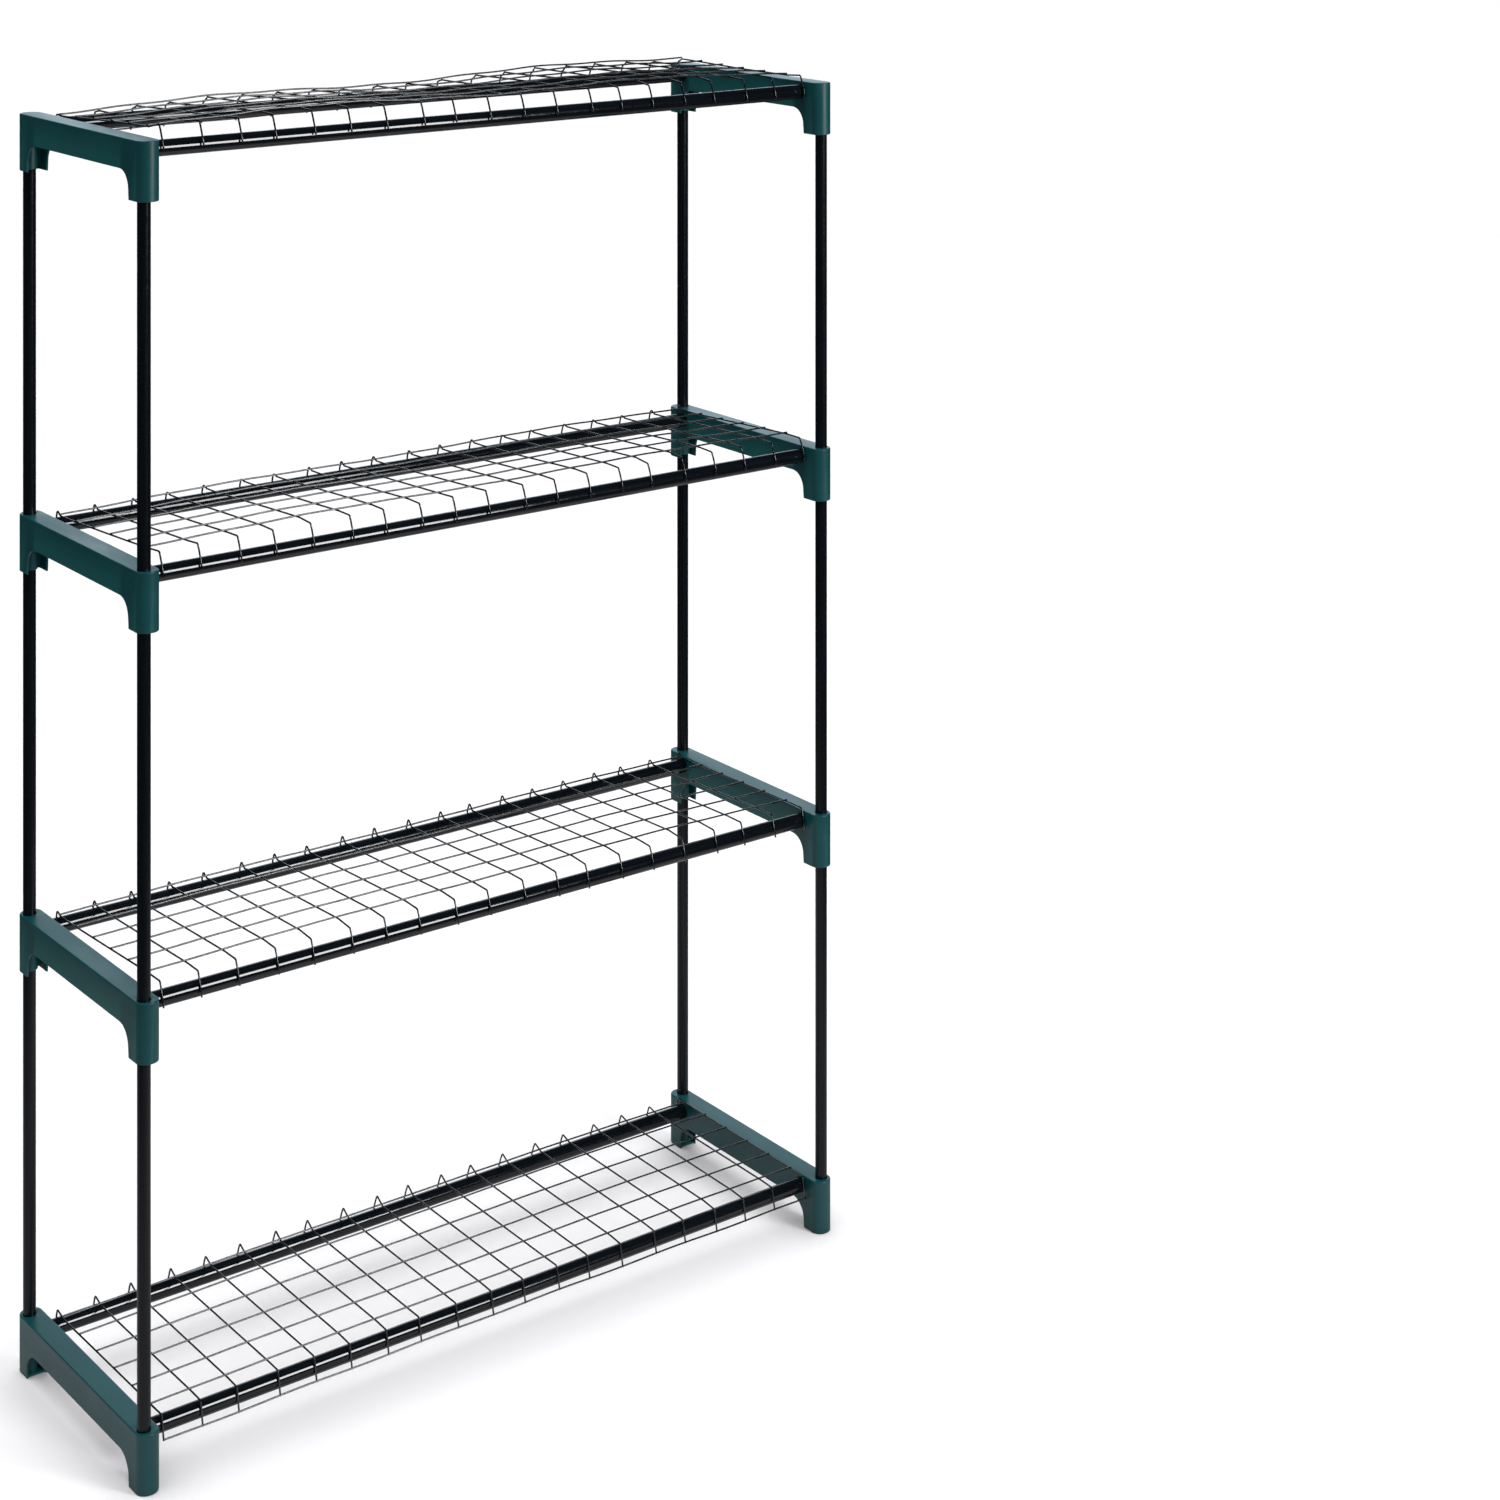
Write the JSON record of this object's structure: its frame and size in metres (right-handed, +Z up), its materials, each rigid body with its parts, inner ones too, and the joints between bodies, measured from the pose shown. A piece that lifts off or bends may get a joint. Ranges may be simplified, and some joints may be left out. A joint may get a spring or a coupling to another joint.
{
  "type": "wire shelving rack",
  "caption": "Free-standing tiered greenhouse rack: moulded green end brackets, push-fit black steel tubes and rails, and loose welded wire mesh shelves.",
  "frame": {"origin": "on the floor, under the middle of the rack", "axes": "+Z up, +X along the rack to its right end, +Y towards its rear"},
  "size_m": [0.9, 0.307, 1.37],
  "materials": {
    "moulded_plastic": "semi-gloss dark green moulded polypropylene",
    "tube_coating": "gloss black coated steel tube",
    "wire_coating": "satin black coated steel wire"
  },
  "bodies": {
    "frame": {"left_foot_bracket": "moulded_plastic", "left_lower_bracket": "moulded_plastic", "left_upper_bracket": "moulded_plastic", "left_top_bracket": "moulded_plastic", "right_foot_bracket": "moulded_plastic", "right_lower_bracket": "moulded_plastic", "right_upper_bracket": "moulded_plastic", "right_top_bracket": "moulded_plastic", "front_left_lower_upright": "tube_coating", "front_left_middle_upright": "tube_coating", "front_left_upper_upright": "tube_coating", "front_right_lower_upright": "tube_coating", "front_right_middle_upright": "tube_coating", "front_right_upper_upright": "tube_coating", "rear_left_lower_upright": "tube_coating", "rear_left_middle_upright": "tube_coating", "rear_left_upper_upright": "tube_coating", "rear_right_lower_upright": "tube_coating", "rear_right_middle_upright": "tube_coating", "rear_right_upper_upright": "tube_coating", "front_rail_1": "tube_coating", "front_rail_2": "tube_coating", "front_rail_3": "tube_coating", "front_rail_4": "tube_coating", "rear_rail_1": "tube_coating", "rear_rail_2": "tube_coating", "rear_rail_3": "tube_coating", "rear_rail_4": "tube_coating"},
    "shelf_1": {"mesh_shelf_1": "wire_coating"},
    "shelf_2": {"mesh_shelf_2": "wire_coating"},
    "shelf_3": {"mesh_shelf_3": "wire_coating"},
    "shelf_4": {"mesh_shelf_4": "wire_coating"}
  },
  "joints": [
    {"name": "shelf_1_lift", "type": "slide", "parent": "frame", "child": "shelf_1", "axis": [0, 0, 1], "range_m": [0, 0.08]},
    {"name": "shelf_2_lift", "type": "slide", "parent": "frame", "child": "shelf_2", "axis": [0, 0, 1], "range_m": [0, 0.08]},
    {"name": "shelf_3_lift", "type": "slide", "parent": "frame", "child": "shelf_3", "axis": [0, 0, 1], "range_m": [0, 0.08]},
    {"name": "shelf_4_lift", "type": "slide", "parent": "frame", "child": "shelf_4", "axis": [0, 0, 1], "range_m": [0, 0.08]}
  ]
}
